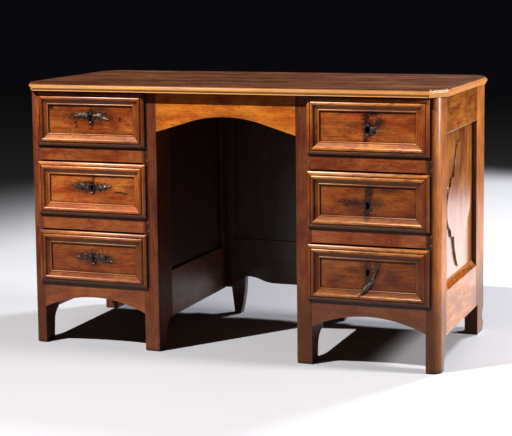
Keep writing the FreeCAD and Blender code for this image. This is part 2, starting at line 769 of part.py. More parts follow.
def moulding(centre, low, high):
    """Moulding swept round a drawer front, with mitred corners."""
    half = opening_width / 2 + s.drawer_side_lip
    seat = s.running_gap
    path = doc.addObject("Sketcher::SketchObject", "path")
    path.Placement.Rotation = FreeCAD.Rotation(FreeCAD.Vector(1, 0, 0), 90)
    place(path, centre - half, front, low)
    sketch_outline(path, [(0, 0), (2 * half, 0), (2 * half, high - low), (0, high - low)])
    section = doc.addObject("Sketcher::SketchObject", "section")
    section.Placement.Rotation = FreeCAD.Rotation(
        FreeCAD.Vector(0, 0, 1), FreeCAD.Vector(0, -1, 0), FreeCAD.Vector(1, 0, 0), "ZYX")
    place(section, centre, front, low)
    rise = s.moulding_shoulder - s.moulding_edge
    bevel = sagitta_radius((s.moulding_bevel * s.moulding_bevel + rise * rise).root(), s.moulding_bulge)
    round_start = s.moulding_bevel + s.moulding_quirk
    crest = sagitta_radius(s.moulding_round_end - round_start, s.moulding_round_rise)
    bead = sagitta_radius(s.moulding_width - s.moulding_slope_end, s.moulding_bead_rise)
    sketch_outline(section, [
        (0, seat),
        (0, s.moulding_edge, bevel, 1),
        (s.moulding_bevel, s.moulding_shoulder),
        (s.moulding_bevel, s.moulding_foot),
        (round_start, s.moulding_foot, crest, 1),
        (s.moulding_round_end, s.moulding_foot),
        (s.moulding_slope_end, s.moulding_step, bead, 1),
        (s.moulding_width, s.moulding_step),
        (s.moulding_width, seat),
    ])
    frame_sweep = doc.addObject("Part::Sweep", "moulding")
    frame_sweep.Sections = [section]
    frame_sweep.Spine = (path, ["Edge1", "Edge2", "Edge3", "Edge4"])
    frame_sweep.Solid = True
    frame_sweep.Frenet = False
    frame_sweep.Transition = "Right corner"
    return frame_sweep


def long_plate(centre, height, y):
    """Lens-shaped plate, pointed at both ends."""
    half, tall = s.plate_half_length, s.plate_half_height
    radius = (half * half + tall * tall) / (2 * tall)
    return padded("XZ_Plane", [
        (0, tall, radius, -1),
        (2 * half, tall, radius, -1),
    ], s.plate_thickness, centre - half, y[1], height - tall)


def upright_plate(centre, height, y):
    half, tall = s.ring_half_width, s.ring_half_height
    radius = (half * half + tall * tall) / (2 * half)
    return padded("XZ_Plane", [
        (half, 0, radius, -1),
        (half, 2 * tall, radius, -1),
    ], s.plate_thickness, centre - half, y[1], height - tall)


def hanging_plate(centre, low, y):
    """What is left of a long plate, hung down to one side from its last nail."""
    half = s.hanging_plate_width / 2
    strip = block((-half, half), (-s.plate_thickness, as_length(0)),
                  (-s.hanging_plate_length, as_length(0)))
    torn = grouped([strip])
    lean = FreeCAD.Rotation(FreeCAD.Vector(0, 1, 0), plate_lean_angle)
    tilt = FreeCAD.Rotation(FreeCAD.Vector(1, 0, 0), plate_tilt_angle)
    torn.Placement.Rotation = lean * tilt
    place(torn, centre, y[1], low + s.moulding_width + s.hanging_plate_rise)
    return torn


for name, side in sides.items():
    for row, level in enumerate(drawer_levels):
        drawer = f"{name}_{level}_drawer"
        centre = drawer_centre(side)
        floor = opening_bottom(row)
        low, high = floor - s.drawer_bottom_lip, front_board_top(row)
        half = opening_width / 2 - s.drawer_side_gap
        board_front = front - s.running_gap
        room = (high - low) / 2 - s.moulding_width - s.ring_half_height
        keyhole_z = (low + high) / 2 + room * keyhole_rise_shares[f"{name}_{level}"]
        lock_x = (centre - s.lock_width / 2, centre + s.lock_width / 2)
        lock_z = (keyhole_z - opening_height * lock_drop_share, high)
        lock_y = lock_span()
        board = block((centre - half, centre + half), (board_front, board_back()),
                      (floor + s.running_gap, high))
        through = (board_front - s.cut_overrun, lock_y[0] + s.lock_plate)
        board = cut(board, [block(lock_x, lock_y, lock_z), keyhole(side, centre, keyhole_z, through)])
        keep(grouped([board, moulding(centre, low, high)]), f"{drawer}_front")

        y = (board_back(), board_y[0] - s.drawer_back_gap)
        z = (floor + s.running_gap, floor + opening_height - s.drawer_headroom)
        wall = s.drawer_side_thickness
        bottom_z = (z[0] + s.drawer_bottom_raise, z[0] + s.drawer_bottom_raise + s.drawer_bottom_thickness)
        inside = (centre - half + wall, centre + half - wall)
        box = [
            block((centre - half, inside[0]), y, z),
            block((inside[1], centre + half), y, z),
            block(inside, (y[1] - wall, y[1]), (bottom_z[1], z[1])),
            block(inside, y, bottom_z),
        ]
        keep(grouped(box), f"{drawer}_box")

        bolt_y = bolt_span()
        bolt_x = (centre - s.bolt_width / 2, centre + s.bolt_width / 2)
        gap = s.running_gap
        bolt_z = (high - s.bolt_length, high)
        channel = block((bolt_x[0] - gap, bolt_x[1] + gap), (bolt_y[0] - gap, bolt_y[1] + gap),
                        (bolt_z[0] - gap, high + s.cut_overrun))
        case = block(lock_x, lock_y, lock_z)
        keep(cut(case, [channel, keyhole(side, centre, keyhole_z, through)]), f"{drawer}_lock")
        keep(block(bolt_x, bolt_y, bolt_z), f"{drawer}_bolt")

        plate_y = (board_front - s.plate_thickness, board_front)
        if side < 0:
            plate = long_plate(centre, keyhole_z, plate_y)
        elif level == "bottom":
            plate = hanging_plate(centre, low, plate_y)
        else:
            plate = upright_plate(centre, keyhole_z, plate_y)
        if not (side > 0 and level == "bottom"):
            plate = cut(plate, [keyhole(side, centre, keyhole_z, through)])
        keep(plate, f"{drawer}_escutcheon")

doc.recompute()
for item in doc.Objects:
    if {"Invalid", "Error"} & set(item.State):
        raise RuntimeError(f"{item.Name} did not recompute: {item.State}")
for item in nodes:
    if item.Shape.isNull() or not item.Shape.isValid():
        raise RuntimeError(f"{item.Label} has no valid shape")

os.makedirs("parts", exist_ok=True)
for item in nodes:
    item.Shape.exportStep(f"parts/{item.Label}.step")
    box = item.Shape.BoundBox
    print(f"{item.Label:32s} solids {len(item.Shape.Solids)} volume {item.Shape.Volume:12.1f} "
          f"x {box.XMin:8.1f} {box.XMax:8.1f} "
          f"y {box.YMin:8.1f} {box.YMax:8.1f} z {box.ZMin:7.1f} {box.ZMax:7.1f}")
print(len(nodes), "sub-parts")
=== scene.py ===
import math
import random
from types import SimpleNamespace

import bmesh
import bpy
from mathutils import Matrix, Vector


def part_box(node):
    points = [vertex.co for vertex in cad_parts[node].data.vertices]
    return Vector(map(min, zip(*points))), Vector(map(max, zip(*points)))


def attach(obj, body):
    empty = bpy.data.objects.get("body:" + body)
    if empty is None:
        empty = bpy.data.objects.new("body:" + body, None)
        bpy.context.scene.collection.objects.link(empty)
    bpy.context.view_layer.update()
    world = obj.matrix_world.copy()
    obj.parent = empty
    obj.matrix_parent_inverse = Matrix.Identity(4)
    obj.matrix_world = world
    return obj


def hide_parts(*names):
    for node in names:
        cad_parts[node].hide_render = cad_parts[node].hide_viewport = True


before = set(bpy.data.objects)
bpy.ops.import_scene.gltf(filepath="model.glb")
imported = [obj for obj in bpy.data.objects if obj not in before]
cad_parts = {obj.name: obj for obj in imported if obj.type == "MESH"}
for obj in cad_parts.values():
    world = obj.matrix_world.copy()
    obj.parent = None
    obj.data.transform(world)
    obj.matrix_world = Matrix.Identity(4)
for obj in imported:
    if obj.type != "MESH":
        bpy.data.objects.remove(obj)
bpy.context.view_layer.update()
scene = bpy.context.scene
print("frame:", len(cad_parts), "parts of the desk")

# Camera: a long lens, to the right of the desk and a little above its top. The image is
# 512 pixels wide, and its middle lies 77 of them below the camera's axis.
camera = {
    "place": (1.539, -4.1495, 1.078),
    "yaw": 20.469, "pitch": 6.343, "roll": -0.623,
    "lens": 105.89, "sensor": 36, "near": 0.1, "far": 60,
    "loweredPixels": 77, "imagePixels": 512,
    "gamma": 0.86, "exposure": 0.12,
}
yaw, pitch, roll = (math.radians(camera[turn]) for turn in ("yaw", "pitch", "roll"))
ahead = Vector((-math.sin(yaw) * math.cos(pitch), math.cos(yaw) * math.cos(pitch), -math.sin(pitch)))
levelRight = Vector((math.cos(yaw), math.sin(yaw), 0))
levelUp = levelRight.cross(ahead)
right = levelRight * math.cos(roll) + levelUp * math.sin(roll)
up = right.cross(ahead)
lens = bpy.data.cameras.new("longLens")
lens.lens = camera["lens"]
lens.sensor_width = camera["sensor"]
lens.shift_y = -camera["loweredPixels"] / camera["imagePixels"]
lens.clip_start = camera["near"]
lens.clip_end = camera["far"]
cameraObject = bpy.data.objects.new("camera", lens)
aim = Matrix((right, up, -ahead)).transposed().to_4x4()
cameraObject.matrix_world = Matrix.Translation(camera["place"]) @ aim
scene.collection.objects.link(cameraObject)
scene.camera = cameraObject
scene.view_settings.view_transform = "Standard"
scene.view_settings.look = "None"
scene.view_settings.gamma = camera["gamma"]
scene.view_settings.exposure = camera["exposure"]


def addNode(tree, kind, sockets=None, **settings):
    made = tree.nodes.new(kind)
    for key, value in settings.items():
        setattr(made, key, value)
    for socket, value in (sockets or {}).items():
        if isinstance(value, bpy.types.NodeSocket):
            tree.links.new(value, made.inputs[socket])
        else:
            made.inputs[socket].default_value = value
    return made


def reckon(tree, operation, first, second=0.0):
    return addNode(tree, "ShaderNodeMath", {0: first, 1: second}, operation=operation).outputs[0]


def times(tree, first, second):
    return reckon(tree, "MULTIPLY", first, second)


def plus(tree, first, second):
    return reckon(tree, "ADD", first, second)


def minus(tree, first, second):
    return reckon(tree, "SUBTRACT", first, second)


def size(tree, value):    # without its sign
    return reckon(tree, "ABSOLUTE", value)


def halfAndHalf(tree, first, second):
    return plus(tree, times(tree, first, 0.5), times(tree, second, 0.5))


# Fades in the dictionaries below are (low, high, share at low, share at high).
def between(tree, value, low, high, toLow=0.0, toHigh=1.0):
    made = addNode(tree, "ShaderNodeMapRange", {"Value": value, "From Min": low, "From Max": high,
                                                "To Min": toLow, "To Max": toHigh},
                   interpolation_type="SMOOTHSTEP")
    return made.outputs[0]


def split(tree, vector):
    return addNode(tree, "ShaderNodeSeparateXYZ", {0: vector}).outputs


def combined(tree, *parts):
    return addNode(tree, "ShaderNodeCombineXYZ", dict(enumerate(parts))).outputs[0]


def shifted(tree, vector, by):
    return addNode(tree, "ShaderNodeVectorMath", {0: vector, 1: by}, operation="ADD").outputs[0]


def stretch(tree, where, scale):
    return addNode(tree, "ShaderNodeMapping", {"Vector": where, "Scale": scale}).outputs[0]


def noise(tree, where, scale, detail=3.0, rough=0.55, warp=0.0):
    made = addNode(tree, "ShaderNodeTexNoise", {"Vector": where, "Scale": scale, "Detail": detail,
                                                "Roughness": rough, "Distortion": warp})
    return made.outputs["Fac"]


def ovalDistance(tree, axes, middle, reach):    # 1 on the edge of an oval
    parts = [reckon(tree, "DIVIDE", minus(tree, axis, at), half)
             for axis, at, half in zip(axes, middle, reach)]
    return reckon(tree, "SQRT", plus(tree, *(times(tree, part, part) for part in parts)))


def objectPlace(tree):
    return addNode(tree, "ShaderNodeTexCoord").outputs["Object"]


def facingRight(tree):
    return split(tree, addNode(tree, "ShaderNodeNewGeometry").outputs["Normal"])[0]


def mix(tree, factor, first, second, blend="MIX"):
    made = addNode(tree, "ShaderNodeMix", {0: factor, 6: first, 7: second},
                   data_type="RGBA", blend_type=blend)
    return made.outputs[2]


def ramp(tree, value, stops):
    made = addNode(tree, "ShaderNodeValToRGB", {0: value})
    points = made.color_ramp.elements
    while len(points) < len(stops):
        points.new(0.5)
    for point, (place, colour) in zip(points, stops):
        point.position = place
        point.color = (*colour, 1)
    return made.outputs[0]


def newMaterial(name, values):
    material = bpy.data.materials.new(name)
    material.use_nodes = True
    shader = material.node_tree.nodes["Principled BSDF"]
    for socket, value in values.items():
        shader.inputs[socket].default_value = value
    return material, material.node_tree, shader


# Walnut: one finish per kind of board. Its stops go from the dark to the light of the
# figure, and its figure gives the shares of streaks, fine grain, rings and clouds.
# What a finish doesn't say it takes from the plain one.
plainWalnut = {"coatIor": 1.6, "wear": 0.6, "dirtAndShade": (0.4, 0.94, 0.88, 0.0)}
walnut = {
    "top": {
        "stops": ((0.28, (0.036, 0.014, 0.007)), (0.45, (0.076, 0.029, 0.013)),
                  (0.57, (0.120, 0.050, 0.023)), (0.78, (0.205, 0.098, 0.046))),
        "figure": (0.56, 0.42, 0.05, 0.40), "coat": 0.34, "rough": 0.42, "coatRough": 0.30,
        "gloss": 0.2, "wear": 0.75, "dirtAndShade": (0.4, 0.9, 0.3, 0.0)},
    "post": {
        "stops": ((0.25, (0.050, 0.011, 0.006)), (0.45, (0.13, 0.032, 0.012)),
                  (0.6, (0.205, 0.060, 0.020)), (0.8, (0.31, 0.105, 0.035))),
        "figure": (0.32, 0.28, 0.04, 0.34), "coat": 0.03, "rough": 0.54, "coatRough": 0.24,
        "gloss": 0.24, "coatIor": 3.0},
    "rail": {
        "stops": ((0.25, (0.11, 0.026, 0.009)), (0.45, (0.25, 0.068, 0.020)),
                  (0.6, (0.35, 0.108, 0.030)), (0.8, (0.48, 0.175, 0.052))),
        "figure": (0.24, 0.28, 0.05, 0.40), "coat": 0.4, "rough": 0.42, "coatRough": 0.26,
        "gloss": 0.2, "wear": 0.8},
    "drawer": {
        "stops": ((0.22, (0.09, 0.018, 0.007)), (0.42, (0.25, 0.062, 0.015)),
                  (0.57, (0.40, 0.122, 0.024)), (0.78, (0.60, 0.235, 0.050))),
        "figure": (0.18, 0.30, 0.05, 0.52), "coat": 0.34, "rough": 0.40, "coatRough": 0.3,
        "gloss": 0.2, "wear": 0.9, "dirtAndShade": (0.4, 0.94, 0.66, 0.0)},
    "apron": {
        "stops": ((0.25, (0.20, 0.055, 0.011)), (0.45, (0.46, 0.145, 0.020)),
                  (0.6, (0.62, 0.220, 0.028)), (0.8, (0.76, 0.32, 0.055))),
        "figure": (0.18, 0.26, 0.05, 0.40), "coat": 0.4, "rough": 0.42, "coatRough": 0.24,
        "gloss": 0.2},
    "side": {
        "stops": ((0.28, (0.10, 0.034, 0.010)), (0.45, (0.29, 0.105, 0.022)),
                  (0.57, (0.47, 0.185, 0.034)), (0.78, (0.62, 0.29, 0.065))),
        "figure": (0.26, 0.26, 0.03, 0.34), "coat": 1.0, "rough": 0.24, "coatRough": 0.14,
        "gloss": 1.0, "wear": 0.4, "dirtAndShade": (0.66, 0.97, 0.95, 0.0), "coatIor": 3.0},
    "dark": {
        "stops": ((0.25, (0.028, 0.010, 0.007)), (0.45, (0.062, 0.022, 0.012)),
                  (0.6, (0.10, 0.036, 0.018)), (0.8, (0.15, 0.060, 0.030))),
        "figure": (0.3, 0.26, 0.05, 0.4), "coat": 0.5, "rough": 0.42, "coatRough": 0.2,
        "gloss": 0.3},
    # Painted light: a lighter walnut for the kneehole's side rails, in place of the light the floor throws
    # back onto them.
    "kneeBounceLit": {
        "stops": ((0.25, (0.10, 0.036, 0.014)), (0.45, (0.22, 0.080, 0.028)),
                  (0.6, (0.33, 0.125, 0.043)), (0.8, (0.45, 0.19, 0.07))),
        "figure": (0.3, 0.26, 0.05, 0.4), "coat": 0.35, "rough": 0.42, "coatRough": 0.25,
        "gloss": 0.3},
    "inner": {
        "stops": ((0.25, (0.16, 0.085, 0.04)), (0.45, (0.30, 0.18, 0.09)),
                  (0.6, (0.40, 0.26, 0.14)), (0.8, (0.52, 0.37, 0.22))),
        "figure": (0.3, 0.26, 0.1, 0.3), "coat": 0.0, "rough": 0.7, "coatRough": 0.3,
        "gloss": 0.2},
}
nearBlack = (0.016, 0.008, 0.006, 1)
turned = {"x": (0, 1, 2), "y": (1, 2, 0), "z": (2, 0, 1)}

# Noise in the wood: stretch along and across the grain, detail, roughness, warp.
woodNoises = {
    "sway": ((1.6, 5, 5), 2.0, 0.55, 0.0), "streak": ((1.8, 46, 46), 6.0, 0.62, 0.0),
    "fine": ((16, 380, 380), 3.0, 0.6, 0.0), "cloud": ((6, 11, 11), 6.0, 0.62, 0.8),
    "blush": ((13, 26, 26), 5.0, 0.7, 0.0), "pore": ((55, 1500, 1500), 1.0, 0.55, 0.0),
    "scratch": ((22, 420, 420), 2.0, 0.5, 0.0), "speck": ((130, 240, 240), 3.0, 0.7, 0.0),
    "worn": ((30, 160, 160), 5.0, 0.75, 0.0), "wave": ((7, 16, 16), 2.0, 0.55, 0.0),
}
grainLook = {
    "boardShift": (0.73, 1.31, 0.47), "swayReach": (0.07, 0.05), "middle": 0.52, "contrast": 1.7,
    "ringStretch": (0.35, 1, 1), "ringScale": 0.05 / 0.006,
    "ringBend": {"Distortion": 3.5, "Detail": 3.0, "Detail Scale": 0.5, "Detail Roughness": 0.6},
    "ruddy": (0.80, 0.52, 0.46, 1), "blush": (0.45, 0.60, 0.0, 0.85),
    "pore": (0.6, 0.72, 0.0, 0.45), "scratch": (0.66, 0.72, 0.0, 0.6), "speck": (0.60, 0.67, 0.0),
    "knotStretch": (9, 15, 15), "knotChosen": (0.86, 0.88), "knot": (0.015, 0.085, 0.75, 0.0),
}


def woodNoise(tree, where, kind):
    scale, detail, rough, warp = woodNoises[kind]
    return noise(tree, stretch(tree, where, scale), 1.0, detail, rough, warp)


def turnedTo(tree, axes, grain):    # its first axis then runs along the grain
    return combined(tree, *(axes[source] for source in turned[grain]))


def walnutColour(tree, local, look, stops):    # figure, pores and small knots of one board
    sway = woodNoise(tree, local, "sway")
    bend = combined(tree, 0.0, *(times(tree, sway, reach) for reach in grainLook["swayReach"]))
    swayed = shifted(tree, local, bend)
    streak = woodNoise(tree, swayed, "streak")
    fine = woodNoise(tree, swayed, "fine")
    cloud = woodNoise(tree, local, "cloud")
    rings = addNode(tree, "ShaderNodeTexWave", {
        "Vector": stretch(tree, swayed, grainLook["ringStretch"]), "Scale": grainLook["ringScale"],
        **grainLook["ringBend"]}, wave_type="RINGS", rings_direction="X").outputs["Fac"]
    total = grainLook["middle"]
    for value, share in zip((streak, fine, rings, cloud), look["figure"]):
        part = grainLook["contrast"] * share
        raised = addNode(tree, "ShaderNodeMath", {0: value, 1: part, 2: -part / 2},
                         operation="MULTIPLY_ADD").outputs[0]
        total = plus(tree, raised, total)
    colour = ramp(tree, total, stops)
    blush = between(tree, woodNoise(tree, local, "blush"), *grainLook["blush"])
    colour = mix(tree, blush, colour, grainLook["ruddy"], "MULTIPLY")
    specks = (*grainLook["speck"], look["wear"])
    for kind, where, fade in (("pore", swayed, grainLook["pore"]), ("scratch", swayed, grainLook["scratch"]),
                              ("speck", local, specks)):
        colour = mix(tree, between(tree, woodNoise(tree, where, kind), *fade), colour, nearBlack)
    cells = addNode(tree, "ShaderNodeTexVoronoi", {
        "Vector": stretch(tree, swayed, grainLook["knotStretch"]), "Scale": 1.0}).outputs
    chosen = between(tree, split(tree, cells["Color"])[0], *grainLook["knotChosen"])
    knot = times(tree, chosen, between(tree, cells["Distance"], *grainLook["knot"]))
    return mix(tree, knot, colour, nearBlack), fine, cloud


def tint(board, share, tone):
    board.colour = mix(board.tree, share, board.colour, tone)


def coat(board, share):    # polish that isn't the same all over
    board.tree.links.new(share, board.shader.inputs["Coat Weight"])


# Drawer mouldings: mitre seams, painted shade and a crest that is worn and partly a painted highlight, by the
# distance from the front's outer edge in metres.
mouldingLook = {
    "width": 0.0362, "sideGrain": (3.1, 1.7, 0.4), "seam": (0.0002, 0.0013, 0.9, 0.0),
    "crest": (0.020, 0.027), "dullCrest": 0.1, "worn": (0.4, 0.56), "uprightShade": 0.42,
    "below": (0.0095, 0.0145, 0.72, 0.0), "rimOffset": 0.001, "rim": (0.0005, 0.0035, 0.4, 0.0),
}


def mitred(tree, axes, front):    # where the moulding is, and which of its sides run upright
    edges = []
    for axis, (low, high) in ((0, front[0]), (2, front[1])):
        fromMiddle = size(tree, minus(tree, axes[axis], (low + high) / 2))
        edges.append(minus(tree, (high - low) / 2, fromMiddle))
    nearest = reckon(tree, "MINIMUM", *edges)
    inside = reckon(tree, "LESS_THAN", nearest, mouldingLook["width"])
    upright = times(tree, reckon(tree, "LESS_THAN", *edges), inside)
    corner = size(tree, minus(tree, *edges))
    seam = times(tree, between(tree, corner, *mouldingLook["seam"]), inside)
    return SimpleNamespace(inside=inside, upright=upright, seam=seam, nearest=nearest)


def mitredGrain(tree, axes, local, upright):    # upright sides take a grain of their own
    other = shifted(tree, turnedTo(tree, axes, "z"), mouldingLook["sideGrain"])
    chosen = addNode(tree, "ShaderNodeMix", {0: upright, 4: local, 5: other}, data_type="VECTOR")
    return chosen.outputs[1]


def shadeMoulding(board, moulding, front, crestWearAndHighlight):
    tree = board.tree
    level = minus(tree, moulding.inside, moulding.upright)
    lowHalf = reckon(tree, "LESS_THAN", board.atRest[2], sum(front[1]) / 2)
    under = times(tree, level, lowHalf)
    # Painted highlight, partly wear: the crest of the level sides is lighter, broken by worn patches.
    crest = between(tree, moulding.nearest, *mouldingLook["crest"], crestWearAndHighlight, mouldingLook["dullCrest"])
    worn = between(tree, woodNoise(tree, board.local, "worn"), *mouldingLook["worn"])
    # Painted shade: the upright sides of the moulding are darker than the level ones.
    tint(board, times(tree, moulding.upright, mouldingLook["uprightShade"]), board.darkest)
    tint(board, times(tree, times(tree, level, crest), worn), board.lightest)
    # Painted shade on the outer part of the bottom moulding, which faces down.
    below = between(tree, moulding.nearest, *mouldingLook["below"])
    tint(board, times(tree, under, below), nearBlack)
    # Painted shadow: a dark line on the panel along the moulding's inner edge.
    rimPlace = mouldingLook["width"] + mouldingLook["rimOffset"]
    rim = size(tree, minus(tree, moulding.nearest, rimPlace))
    tint(board, between(tree, rim, *mouldingLook["rim"]), board.darkest)
    tint(board, moulding.seam, nearBlack)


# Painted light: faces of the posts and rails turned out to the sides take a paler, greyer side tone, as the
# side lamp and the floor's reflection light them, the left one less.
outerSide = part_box("right_outer_front_post")[1].x
sideLightLook = {
    "left": 0.55, "facing": (0.12, 0.6), "reach": (outerSide - 0.053, outerSide - 0.023), "share": 0.9,
    "lighter": 0.02, "tone": (0.92, 0.88, 0.90, 1), "flat": (0.93, 0.99), "coat": 0.55,
}


def paintSideLight(board, finish):
    tree = board.tree
    outward = times(tree, facingRight(tree), reckon(tree, "SIGN", board.atRest[0]))
    onLeft = reckon(tree, "LESS_THAN", board.atRest[0], 0.0)
    facingOut = minus(tree, outward, times(tree, onLeft, sideLightLook["left"]))
    reached = times(tree, between(tree, facingOut, *sideLightLook["facing"]),
                    between(tree, size(tree, board.atRest[0]), *sideLightLook["reach"]))
    # Painted light: a paler, greyer copy of the side finish for the outward faces.
    stops = [(at + sideLightLook["lighter"], tone) for at, tone in walnut["side"]["stops"]]
    sideLitTone = ramp(tree, halfAndHalf(tree, board.fine, board.cloud), stops)
    sideLitTone = mix(tree, 1.0, sideLitTone, sideLightLook["tone"], "MULTIPLY")
    tint(board, times(tree, reached, sideLightLook["share"]), sideLitTone)
    if finish == "post":    # only the flat of the post is polished
        coat(board, between(tree, outward, *sideLightLook["flat"], board.look["coat"], sideLightLook["coat"]))


# Painted shade: the wood is darker near the floor, more on the right.
floorShade = {"fade": (0.14, 0.26, 1.0, 0.0), "left": 0.24, "right": 0.7, "tone": (0.085, 0.036, 0.016, 1)}


def paintShadeNearFloor(board):
    tree = board.tree
    onRight = reckon(tree, "GREATER_THAN", board.atRest[0], 0.0)
    strength = plus(tree, times(tree, onRight, floorShade["right"] - floorShade["left"]), floorShade["left"])
    lowDown = between(tree, board.atRest[2], *floorShade["fade"])
    tint(board, times(tree, lowDown, strength), floorShade["tone"])


# Painted shadow just below the drawer fronts and just right of them, where the proud drawers would cast it,
# in metres.
drawerShadow = {"behind": 0.0055, "fade": (0.0055, 0.0105, 0.72, 0.0)}
drawerEnds = [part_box(f"{side}_top_drawer_front")[1].x for side in ("left", "right")]
drawerLows = [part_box(f"left_{level}_drawer_front")[0].z for level in ("bottom", "middle", "top")]


def shadowPast(tree, past):    # past is how far beyond the drawer's edge
    return times(tree, between(tree, past, *drawerShadow["fade"]),
                 reckon(tree, "GREATER_THAN", past, -drawerShadow["behind"]))


# Painted shadow on the posts just right of the drawers.
def paintShadowOnPost(board):
    tree = board.tree
    for edge in drawerEnds:
        beside = shadowPast(tree, minus(tree, board.atRest[0], edge))
        raised = reckon(tree, "GREATER_THAN", board.atRest[2], drawerLows[0])
        tint(board, times(tree, beside, raised), nearBlack)


# Painted shadow on the rails just below the drawers.
def paintShadowOnRail(board):
    for low in drawerLows:
        tint(board, shadowPast(board.tree, minus(board.tree, low, board.atRest[2])), nearBlack)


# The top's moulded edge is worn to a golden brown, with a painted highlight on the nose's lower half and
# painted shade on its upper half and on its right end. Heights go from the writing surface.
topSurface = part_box("top")[1].z
noseLook = {
    "stops": ((0.34, (0.22, 0.085, 0.025)), (0.44, (0.50, 0.21, 0.05)),
              (0.54, (0.68, 0.32, 0.09)), (0.66, (0.80, 0.46, 0.18))),
    "edge": (-0.0040, -0.0024, 1.0, 0.0), "share": 0.95, "coat": 0.08,
    "lower": (-0.013, -0.007, 0.85, 0.0), "highlightTone": (0.95, 0.50, 0.17, 1),
    "upper": (-0.010, -0.005, 0.0, 0.75), "shadedTone": (0.22, 0.085, 0.024, 1),
    "end": (0.5, 0.85, 0.0, 0.7), "endShadeTone": (0.26, 0.10, 0.03, 1),
}


def paintNoseWearAndLight(board):
    tree = board.tree
    height = minus(tree, board.atRest[2], topSurface)
    edge = between(tree, height, *noseLook["edge"])
    golden = ramp(tree, halfAndHalf(tree, board.fine, board.cloud), noseLook["stops"])
    # Painted highlight low on the nose, painted shade high on it and on its right end.
    golden = mix(tree, between(tree, height, *noseLook["lower"]), golden, noseLook["highlightTone"])
    golden = mix(tree, between(tree, height, *noseLook["upper"]), golden, noseLook["shadedTone"])
    golden = mix(tree, between(tree, facingRight(tree), *noseLook["end"]), golden, noseLook["endShadeTone"])
    tint(board, times(tree, edge, noseLook["share"]), golden)
    coat(board, between(tree, edge, 0.0, 1.0, board.look["coat"], noseLook["coat"]))


# The top is of three boards, joined at these places from front to back.
topSeams = (-0.118, 0.094)
seamFade = (0.0004, 0.0014, 0.7, 0.0)


def drawSeam(board, place):
    away = size(board.tree, minus(board.tree, board.atRest[1], place))
    tint(board, between(board.tree, away, *seamFade), nearBlack)


# Stains are ovals whose edge is broken up by noise.
stainLook = {"scale": 170.0, "detail": 5.0, "rough": 0.8, "push": 4.2, "core": 0.45, "rim": 1.35}


def drawStain(board, x, z, wide, tall, strength):
    tree = board.tree
    away = ovalDistance(tree, (board.atRest[0], board.atRest[2]), (x, z), (wide, tall))
    rough = noise(tree, board.place, stainLook["scale"], stainLook["detail"], stainLook["rough"])
    broken = plus(tree, away, times(tree, rough, stainLook["push"]))
    middle = stainLook["push"] / 2
    fade = between(tree, broken, middle + stainLook["core"], middle + stainLook["rim"], strength, 0.0)
    tint(board, fade, nearBlack)


# Edges are rubbed lighter, and the corners are darkened, partly by old wax and dust and partly as painted
# shade.
edgeWear = {"reach": 0.0045, "samples": 4, "fade": (0.45, 0.85, 0.6, 0.0), "patches": (0.3, 0.6, 0.3, 1.0)}
cornerDirtAndShade = {"reach": 0.013, "samples": 6}
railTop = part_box("left_outer_lower_rail")[1].z
sidePolish = {"railTop": (railTop - 0.002, railTop + 0.002), "rail": 0.36, "clean": (0.0, 0.5, 1.0, 0.0)}


def rubEdges(board):
    tree = board.tree
    edges = addNode(tree, "ShaderNodeAmbientOcclusion", {"Distance": edgeWear["reach"]},
                    samples=edgeWear["samples"], inside=True).outputs["AO"]
    tint(board, times(tree, between(tree, edges, *edgeWear["fade"]),
                      between(tree, board.cloud, *edgeWear["patches"])), board.lightest)


def darkenCornersDirtAndShade(board, finish):
    tree = board.tree
    corners = addNode(tree, "ShaderNodeAmbientOcclusion", {"Distance": cornerDirtAndShade["reach"]},
                      samples=cornerDirtAndShade["samples"]).outputs["AO"]
    # Painted shade in corners and recesses, together with real dirt.
    dirtAndShade = between(tree, corners, *board.look["dirtAndShade"])
    tint(board, dirtAndShade, nearBlack)
    if finish == "side":    # no polish where the dirt and painted shade lie, and less on the lower rail
        polished = between(tree, board.atRest[2], *sidePolish["railTop"], sidePolish["rail"],
                           board.look["coat"])
        coat(board, times(tree, polished, between(tree, dirtAndShade, *sidePolish["clean"])))


# Relief: slow waves from the plane and the fine grain, in metres.
relief = {"wave": 0.0008, "grain": 0.00006, "strength": 0.8, "roughRange": 0.16}


def shapeSurface(board):
    tree = board.tree
    rough = plus(tree, times(tree, board.cloud, relief["roughRange"]),
                 board.look["rough"] - relief["roughRange"] / 2)
    tree.links.new(rough, board.shader.inputs["Roughness"])
    wave = times(tree, woodNoise(tree, board.local, "wave"), relief["wave"])
    height = plus(tree, wave, times(tree, board.fine, relief["grain"]))
    bump = addNode(tree, "ShaderNodeBump", {"Height": height, "Distance": 1.0,
                                            "Strength": relief["strength"]}).outputs[0]
    tree.links.new(bump, board.shader.inputs["Normal"])
    tree.links.new(bump, board.shader.inputs["Coat Normal"])


